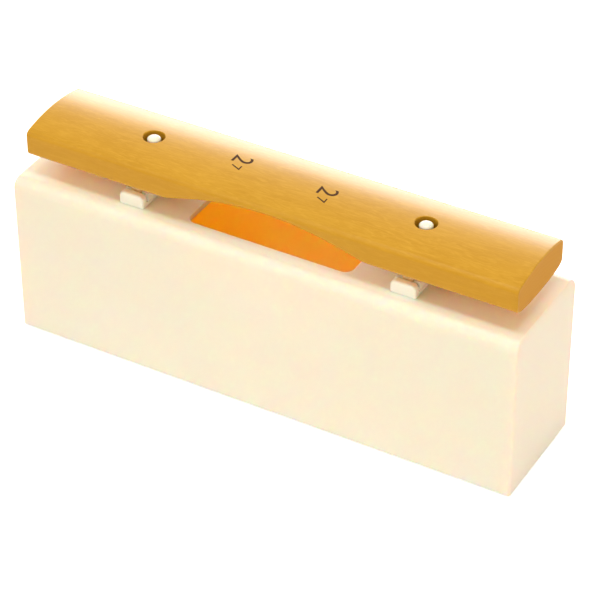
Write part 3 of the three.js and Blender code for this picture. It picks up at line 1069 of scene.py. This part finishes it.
@dataclass
class Bridge:
    """A white moulded bridge with an end block at each end, its pin, and the pads that carry the bar."""

    side: str
    seat_gap: float = 0.0001
    strip_width: float = 0.0141
    strip_thickness: float = 0.0016
    strip_corner: float = 0.0015
    strip_round: float = 0.0003
    block_width: float = 0.0144
    block_depth: float = 0.0043
    block_shoulder: float = 0.0032
    block_round: float = 0.0012
    slit_width: float = 0.0015
    rail_width: float = 0.0135
    rail_chamfer: float = 0.0006
    groove_width: float = 0.0062
    groove_depth: float = 0.0012
    pad_proud: float = 0.0027
    spigot_radius: float = 0.0023
    spigot_spacing: float = 0.027
    spigot_taper: float = 0.0005
    pin_radius: float = 0.0038
    pin_top_radius: float = 0.0036
    pin_dome: float = 0.0015
    pin_flat_radius: float = 0.0009
    collar_radius: float = 0.0049
    collar_height: float = 0.0009
    collar_round: float = 0.00025
    shank_radius: float = 0.0025
    barb_radius: float = 0.0031
    barb_length: float = 0.003
    barb_tip_radius: float = 0.0018
    pad_crown: float = 0.0025
    pad_end_round: float = 0.0006
    rail_edge_round: float = 0.00012
    steps: int = 48
    spigot_steps: int = 32
    shoulder_steps: int = 8
    block_round_steps: int = 5
    rail_round_steps: int = 2
    collar_steps: int = 3
    dome_steps: int = 10
    pad_steps: int = 20
    pad_end_steps: int = 5

    def __post_init__(self) -> None:
        """Reads the bridge's place from the frame."""
        self.node = f"bridge_{self.side}"
        self.low, self.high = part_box(self.node)
        self.x = (self.low.x + self.high.x) / 2
        self.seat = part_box("resonator_box")[1].z + self.seat_gap
        self.rail_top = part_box("sound_bar")[0].z - self.pad_proud
        self.half_depth = (self.high.y - self.low.y) / 2
        self.inside = self.seat + self.strip_thickness / 2

    def body(self, finishes: Finishes) -> None:
        """Makes the strip, the two end blocks, the grooved rail and the spigots as one moulding."""
        bm = bmesh.new()
        strip = Vector((self.strip_width, 2 * self.half_depth - self.block_depth, self.strip_thickness))
        rounded_block(bm, Vector((self.x, 0, self.seat)), strip, self.strip_corner, self.strip_round)
        piece = finished(bm, f"bridge_moulding_{self.side}", finishes.white)
        spigots = turned([(0, self.low.z), (self.spigot_radius - self.spigot_taper, self.low.z),
                          (self.spigot_radius, self.low.z + self.spigot_taper),
                          (self.spigot_radius, self.inside), (0, self.inside)],
                         [Vector((self.x, side * self.spigot_spacing / 2, 0)) for side in (-1, 1)],
                         self.spigot_steps)
        for solid in (self.block(-1), self.block(1), self.rail(), spigots):
            carved(piece, solid, Carve.JOIN)
        seated(piece, Body.STAND, Slot.WHITE, self.node)

    def block(self, side: int) -> BMesh:
        """Makes an end block: an upright plate with broad round shoulders and softly rounded edges.

        Args:
            side: -1 for the front one, 1 for the rear one.

        Returns:
            The block.
        """
        half, shoulder = self.block_width / 2, self.block_shoulder
        right = [(half, self.seat), *arc((half - shoulder, self.high.z - shoulder), shoulder, shoulder, 0, 1,
                                         self.shoulder_steps)]
        front = side * (self.half_depth - self.block_depth / 2) - self.block_depth / 2
        bm = swept([(self.x + u, front, v) for u, v in both_sides(right)], (0, self.block_depth, 0))
        ends = [f for f in bm.faces if abs(f.normal.y) > NEARLY_LEVEL]
        rims = [e for end in ends for e in end.edges if max(v.co.z for v in e.verts) > self.seat + WELD]
        return softened(bm, rims, self.block_round, self.block_round_steps, clamp_overlap=False)

    def rail(self) -> BMesh:
        """Makes the rail: a grooved and chamfered section, run from slit to slit."""
        half, groove = self.rail_width / 2, self.groove_width / 2
        right = [(half, self.inside), (half, self.rail_top - self.rail_chamfer),
                 (half - self.rail_chamfer, self.rail_top), (groove, self.rail_top),
                 (groove, self.rail_top - self.groove_depth)]
        length = self.half_depth - self.block_depth - self.slit_width
        bm = swept([(self.x + u, -length, v) for u, v in both_sides(right)], (0, 2 * length, 0))
        edges = [e for e in bm.edges if e.calc_face_angle(0) > SHARP_ANGLE
                 and min(v.co.z for v in e.verts) > self.inside + WELD]
        return softened(bm, edges, self.rail_edge_round, self.rail_round_steps, material=KEEP_MATERIAL,
                        clamp_overlap=True)

    def pin(self, finishes: Finishes) -> None:
        """Makes the domed pin with its collar, and the barb that holds it under the box's ceiling."""
        node = f"bar_pin_{self.side}"
        low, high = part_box(node)
        collar_bottom = self.rail_top + self.seat_gap
        collar_top = collar_bottom + self.collar_height
        r, rim = self.collar_round, self.collar_radius - self.collar_round
        collar = [*arc((rim, collar_bottom + r), r, r, -1, 0, self.collar_steps),
                  *arc((rim, collar_top - r), r, r, 0, 1, self.collar_steps)]
        dome = arc((self.pin_flat_radius, high.z - self.pin_dome),
                   self.pin_top_radius - self.pin_flat_radius, self.pin_dome, 0, 1, self.dome_steps)
        profile = [(0, low.z), (self.barb_tip_radius, low.z), (self.barb_radius, low.z + self.barb_length),
                   (self.shank_radius, low.z + self.barb_length), (self.shank_radius, collar_bottom),
                   *collar, (self.pin_radius, collar_top), *dome, (0, high.z)]
        bm = turned(profile, [Vector((self.x, 0, 0))], self.steps)
        seated(finished(bm, f"pin_{self.side}", finishes.white), Body.STAND, Slot.WHITE, node)

    def pad(self, end: str, finishes: Finishes) -> None:
        """Makes one soft pad: a strip with a flat underside, a round back and eased ends."""
        node = f"bar_pad_{self.side}_{end}"
        low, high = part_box(node)
        half = (high.x - low.x) / 2
        crown = arc((0, high.z - self.pad_crown), half, self.pad_crown, 0, 2, self.pad_steps)
        section = [(-half, low.z), (half, low.z), *crown]
        centre = Vector((self.x, 0, (low.z + high.z) / 2))
        bm = bmesh.new()
        verts = [bm.verts.new((self.x + u, low.y, v)) for u, v in section]
        ring = [bm.edges.new(pair) for pair in zip(verts, verts[1:] + verts[:1])]
        stops = [(low.y + self.pad_end_round * (1 - cosine), 1 - self.pad_end_round / half * (1 - sine))
                 for sine, cosine in eased(self.pad_end_steps)]
        stops += [(low.y + high.y - y, share) for y, share in reversed(stops)]
        bmesh.ops.scale(bm, verts=verts, vec=(stops[0][1],) * 3,
                        space=Matrix.Translation(-centre - Vector((0, low.y, 0))))
        first = list(ring)
        y, share = stops[0]
        for next_y, next_share in stops[1:]:
            made = bmesh.ops.extrude_edge_only(bm, edges=ring)
            verts = new_verts(made)
            ring = [g for g in made["geom"] if isinstance(g, BMEdge)
                    and all(v in verts for v in g.verts)]
            bmesh.ops.translate(bm, verts=verts, vec=(0, next_y - y, 0))
            grow = next_share / share
            bmesh.ops.scale(bm, verts=verts, vec=(grow, 1, grow), space=Matrix.Translation(-centre))
            y, share = next_y, next_share
        for edges in (first, ring):
            bmesh.ops.contextual_create(bm, geom=edges)
        piece = finished(bm, f"soft_pad_{self.side}_{end}", finishes.pad)
        seated(piece, Body.STAND, Slot.PAD, node)

    def build(self, finishes: Finishes) -> None:
        """Makes the bridge, its pin and its pads."""
        self.body(finishes)
        self.pin(finishes)
        for end in ("front", "rear"):
            self.pad(end, finishes)


@dataclass
class SoundBar:
    """The tuned bar: crowned above, bellied below, with a tuning arch and two holes for the pins."""

    crown: float = 0.0025
    top_inset: float = 0.0032
    end_edge_round: float = 0.0007
    belly_rise: float = 0.003
    belly_width: float = 0.0484
    belly_fullness: float = 0.88
    shoulder: float = 0.0032
    side_bottom: float = 0.0048
    arch_half_span: float = 0.0741
    arch_web: float = 0.006
    arch_crown_share: float = 0.5
    arch_foot_share: float = 0.82
    hole_radius: float = 0.0057
    hole_rim: float = 0.0004
    ink_thickness: float = 0.00003
    overrun: float = 0.001
    numeral_height: float = 0.0105
    small_numeral_height: float = 0.0056
    end_round_steps: int = 4
    small_numeral_drop: float = 0.0072
    left_numeral: Point = (-0.0276, 0.0037)
    right_numeral: Point = (0.0236, -0.00035)
    numeral_cuts: int = 12
    numeral_resolution: int = 8
    belly_steps: int = 18
    side_steps: int = 10
    shoulder_steps: int = 12
    crown_steps: int = 16
    arch_steps: int = 48
    hole_steps: int = 64

    def __post_init__(self) -> None:
        """Reads the bar's outline from the frame, and keeps the ink's thickness free above it."""
        self.low, self.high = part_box("sound_bar")
        self.half_width = (self.high.y - self.low.y) / 2
        self.top = self.high.z - self.ink_thickness
        self.thickness = self.top - self.low.z
        self.crown_half = self.half_width - self.top_inset
        self.crown_radius = (self.crown_half ** 2 + self.crown ** 2) / (2 * self.crown)

    def crown_height(self, y: float) -> float:
        """Gives the height of the bar's top at a distance from its middle line."""
        return self.top - self.crown_radius + math.sqrt(self.crown_radius ** 2 - y * y)

    def half_section(self) -> list[Point]:
        """Gives the section's right half, from the middle of the belly round to the crown.

        Returns:
            Places as Y and height above the bar's underside.
        """
        half, crown_half = self.half_width, self.crown_half
        crown_edge = self.thickness - self.crown
        angle = math.asin(crown_half / self.crown_radius)
        top_corner = crown_edge - self.top_inset * math.tan(angle)
        belly = self.belly_width / 2
        level = belly * self.belly_fullness
        low_corner = self.belly_rise + (half - belly) * self.belly_rise / (belly - level)
        places = [(0.0, 0.0)]
        places += bend((0, 0), (level, 0), (belly, self.belly_rise), self.belly_steps)
        places += bend(places[-1], (half, low_corner), (half, self.side_bottom), self.side_steps)
        places.append((half, crown_edge - self.shoulder))
        places += bend(places[-1], (half, top_corner), (crown_half, crown_edge), self.shoulder_steps)
        for step in range(1, self.crown_steps + 1):
            turn = angle * (1 - step / self.crown_steps)
            places.append((self.crown_radius * math.sin(turn),
                           self.thickness - self.crown_radius * (1 - math.cos(turn))))
        return places

    def blank(self) -> BMesh:
        """Makes the bar before its arch and holes: the section run along X, with eased ends."""
        outline = [(self.low.x, y, self.low.z + z) for y, z in both_sides(self.half_section(), 1)]
        bm = swept(outline, (self.high.x - self.low.x, 0, 0))
        rims = []
        for face in bm.faces:
            if abs(face.normal.x) > NEARLY_LEVEL:
                face.material_index = BarFace.END
                rims += face.edges
            elif face.normal.z < -NEARLY_LEVEL:
                face.material_index = BarFace.BARE
        return softened(bm, rims, self.end_edge_round, self.end_round_steps, material=BarFace.LACQUERED,
                        clamp_overlap=False)

    def arch(self) -> BMesh:
        """Makes the solid that the tuning arch is cut with: an S-shaped rise to a level middle."""
        depth = self.thickness - self.arch_web
        foot = self.arch_half_span * self.arch_foot_share
        handle = self.arch_half_span * self.arch_crown_share
        ends = [Vector((-self.arch_half_span, 0)), Vector((-foot, 0)), Vector((-handle, depth)),
                Vector((0, depth))]
        left = []
        for step in range(self.arch_steps + 1):
            t = step / self.arch_steps
            shares = ((1 - t) ** 3, 3 * t * (1 - t) ** 2, 3 * t * t * (1 - t), t ** 3)
            left.append(sum((share * end for share, end in zip(shares, ends)), Vector((0, 0))))
        curve = left + [Vector((-p.x, p.y)) for p in reversed(left[:-1])]
        outline = [Vector((-self.arch_half_span, -self.overrun)), *curve,
                   Vector((self.arch_half_span, -self.overrun))]
        front = self.low.y - self.overrun
        bm = swept([(p.x, front, self.low.z + p.y) for p in outline],
                   (0, self.high.y - front + self.overrun, 0))
        for face in bm.faces:
            face.material_index = BarFace.BARE
        return bm

    def holes(self) -> BMesh:
        """Makes the solids that the pin holes are cut with, flared at both rims."""
        rim, radius = self.hole_rim, self.hole_radius
        wide = radius + rim + self.overrun
        below, above = self.low.z - self.overrun, self.top + self.overrun
        return turned([(0, below), (wide, below), (radius, self.low.z + rim), (radius, self.top - rim),
                       (wide, above), (0, above)],
                      [middle(f"bar_pin_{side}") for side in ("left", "right")], self.hole_steps)

    def numeral(self, digit: str, name: str, place: Point, height: float, finishes: Finishes) -> None:
        """Prints one plain digit on the crown, its head to the right.

        Args:
            digit: The digit.
            name: The piece's name.
            place: X and Y of its middle.
            height: Its height on the bar.
            finishes: The materials.
        """
        curve = bpy.data.curves.new(name, "FONT")
        curve.body = digit
        curve.resolution_u = self.numeral_resolution
        text = placed(name, curve)
        graph = bpy.context.evaluated_depsgraph_get()
        mesh = bpy.data.meshes.new_from_object(text.evaluated_get(graph), depsgraph=graph)
        bpy.data.objects.remove(text)
        bm = bmesh.new()
        bm.from_mesh(mesh)
        bmesh.ops.remove_doubles(bm, verts=bm.verts, dist=WELD)
        low = Vector([min(v.co[k] for v in bm.verts) for k in range(2)])
        high = Vector([max(v.co[k] for v in bm.verts) for k in range(2)])
        scale = height / (high.y - low.y)
        centre = (low + high) / 2
        for cut in range(1, self.numeral_cuts):
            place_of_cut = low.x + (high.x - low.x) * cut / self.numeral_cuts
            bmesh.ops.bisect_plane(bm, geom=[*bm.verts, *bm.edges, *bm.faces], dist=WELD,
                                   plane_co=(place_of_cut, 0, 0), plane_no=(1, 0, 0))
        for vert in bm.verts:
            x = place[0] + (vert.co.y - centre.y) * scale
            y = place[1] - (vert.co.x - centre.x) * scale
            vert.co = (x, y, self.crown_height(y) + self.ink_thickness)
        bmesh.ops.recalc_face_normals(bm, faces=bm.faces)
        if sum(f.normal.z for f in bm.faces) < 0:
            bmesh.ops.reverse_faces(bm, faces=bm.faces)
        bmesh.ops.solidify(bm, geom=bm.faces, thickness=2 * self.ink_thickness)
        seated(finished(bm, name, finishes.ink), Body.BAR, Slot.WOOD)

    def build(self, finishes: Finishes) -> None:
        """Makes the bar and the plain numbers printed on it."""
        piece = finished(self.blank(), "wooden_bar", finishes.wood, finishes.end_grain, finishes.bare_wood)
        for tool in (self.arch(), self.holes()):
            carved(piece, tool, Carve.CUT)
        seated(piece, Body.BAR, Slot.WOOD, "sound_bar")
        for side, (x, y) in (("left", self.left_numeral), ("right", self.right_numeral)):
            self.numeral("2", f"numeral_two_{side}", (x, y), self.numeral_height, finishes)
            self.numeral("7", f"numeral_seven_{side}", (x, y - self.small_numeral_drop),
                         self.small_numeral_height, finishes)


def towards(azimuth: float, elevation: float) -> Vector:
    """Gives the direction of a place seen from the middle, by degrees round from the front and degrees up."""
    turn, rise = math.radians(azimuth), math.radians(elevation)
    return Vector((math.sin(turn) * math.cos(rise), -math.cos(turn) * math.cos(rise), math.sin(rise)))


@dataclass
class Lamp:
    """A soft lamp that points at the chime bar, or at a place along it.

    The aim is that place's X in metres, and the spread is the full angle of its beam in degrees.
    """

    name: str
    azimuth: float
    elevation: float
    distance: float
    width: float
    height: float
    power: float
    aim: float = 0
    spread: float = 180
    shade: Colour = (1, 1, 1)

    def build(self) -> None:
        """Hangs the lamp."""
        light = bpy.data.lights.new(self.name, "AREA")
        light.shape = "RECTANGLE"
        light.size = self.width
        light.size_y = self.height
        light.energy = self.power
        light.spread = math.radians(self.spread)
        light.color = self.shade
        lamp = placed(self.name, light)
        away = towards(self.azimuth, self.elevation)
        lamp.location = middle("resonator_box") + Vector((self.aim, 0, 0)) + away * self.distance
        lamp.rotation_euler = away.to_track_quat("Z", "Y").to_euler()


@dataclass
class Studio:
    """The pale floor, the soft lights and the camera of the photograph."""

    azimuth: float = 29.912
    elevation: float = 36.445
    roll: float = -0.273
    distance: float = 1.410318
    aim_right: float = 0.003502
    aim_up: float = 0.0402
    aim_rise: float = 0.001
    sensor: float = 36
    focal_pixels: float = 2688.608
    image_height: int = 591
    floor_size: float = 6
    floor_shade: float = 0.9
    floor_glow: float = 0.6
    ambient: Colour = (0.71, 0.53, 0.372)

    def camera(self) -> None:
        """Sets up the camera."""
        turn, roll = math.radians(self.azimuth), math.radians(self.roll)
        back = towards(self.azimuth, self.elevation)
        right = Vector((math.cos(turn), math.sin(turn), 0))
        up = back.cross(right)
        right, up = (right * math.cos(roll) + up * math.sin(roll),
                     up * math.cos(roll) - right * math.sin(roll))
        data = bpy.data.cameras.new("camera")
        data.sensor_width = self.sensor
        data.lens = self.sensor * self.focal_pixels / self.image_height
        camera = placed("camera", data)
        axes = Matrix((right, up, back)).transposed().to_4x4()
        place = back * self.distance + right * self.aim_right + up * self.aim_up
        camera.matrix_world = Matrix.Translation(place + Vector((0, 0, self.aim_rise))) @ axes
        bpy.context.scene.camera = camera

    def floor(self) -> None:
        """Lays the floor, which looks white and keeps the soft shadow under the box."""
        bm = bmesh.new()
        bmesh.ops.create_grid(bm, x_segments=1, y_segments=1, size=self.floor_size / 2)
        mesh = bpy.data.meshes.new("floor")
        bm.to_mesh(mesh)
        bm.free()
        floor = placed("floor", mesh)
        material = bpy.data.materials.new("pale_floor")
        material.use_nodes = True
        tree = material.node_tree
        tree.nodes.clear()
        plain = tree.nodes.new("ShaderNodeBsdfDiffuse")
        plain.inputs["Color"].default_value = (self.floor_shade,) * 3 + (1,)
        glow = tree.nodes.new("ShaderNodeEmission")
        lit = tree.nodes.new("ShaderNodeAddShader")
        out = tree.nodes.new("ShaderNodeOutputMaterial")
        tree.links.new(self.seen_directly(tree, self.floor_glow), glow.inputs["Strength"])
        tree.links.new(plain.outputs[0], lit.inputs[0])
        tree.links.new(glow.outputs[0], lit.inputs[1])
        tree.links.new(lit.outputs[0], out.inputs["Surface"])
        mesh.materials.append(material)
        floor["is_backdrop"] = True

    def seen_directly(self, tree: NodeTree, strength: float) -> NodeSocket:
        """Gives a strength where the camera, a gloss or a clear piece sees the surface, and 0 elsewhere."""
        path = tree.nodes.new("ShaderNodeLightPath")
        value = path.outputs["Is Camera Ray"]
        for name in ("Is Glossy Ray", "Is Transmission Ray"):
            value = maths(tree, "MAXIMUM", value, path.outputs[name])
        return maths(tree, "MULTIPLY", value, strength)

    def sky(self) -> None:
        """Sets the warm, even light from all round, which looks white itself."""
        world = bpy.data.worlds.new("studio")
        bpy.context.scene.world = world
        world.use_nodes = True
        tree = world.node_tree
        seen = mixed(tree, self.seen_directly(tree, 1), self.ambient, WHITE)
        tree.links.new(seen, tree.nodes["Background"].inputs["Color"])

    def build(self) -> None:
        """Sets up the whole studio."""
        self.camera()
        self.floor()
        self.sky()
        for lamp in (
            Lamp("front", azimuth=26, elevation=6, distance=1.6, width=0.5, height=0.4, power=0.185,
                 aim=0.07, spread=30),
            Lamp("top", azimuth=0, elevation=82, distance=1.6, width=1.2, height=0.4, power=10.5,
                 shade=(0.94, 1, 0.98)),
            Lamp("side", azimuth=88, elevation=14, distance=1.6, width=0.9, height=0.8, power=0.5),
            Lamp("gleam", azimuth=-34, elevation=44, distance=1.6, width=0.6, height=0.4, power=3.2,
                 shade=(0.9, 1, 0.96)),
            Lamp("back", azimuth=205, elevation=18, distance=1.4, width=1.1, height=0.45, power=9),
        ):
            lamp.build()
        bpy.context.scene.view_settings.view_transform = "Standard"


def write_sizes() -> None:
    """Gathers the frame's box and the dressed model's box side by side."""
    sizes = {name: [list(corner) for corner in box]
             for name, box in (("cad", cad_bounds), ("visual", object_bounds()))}


def main() -> None:
    """Builds the chime bar and the studio round it."""
    logging.basicConfig(level=logging.INFO, format="%(name)s %(message)s")
    Studio().build()
    finishes = make_finishes()
    ResonatorBox().build(finishes)
    Base().build(finishes)
    for side in ("left", "right"):
        Bridge(side).build(finishes)
    SoundBar().build(finishes)
    write_sizes()


if __name__ == "__main__":
    main()
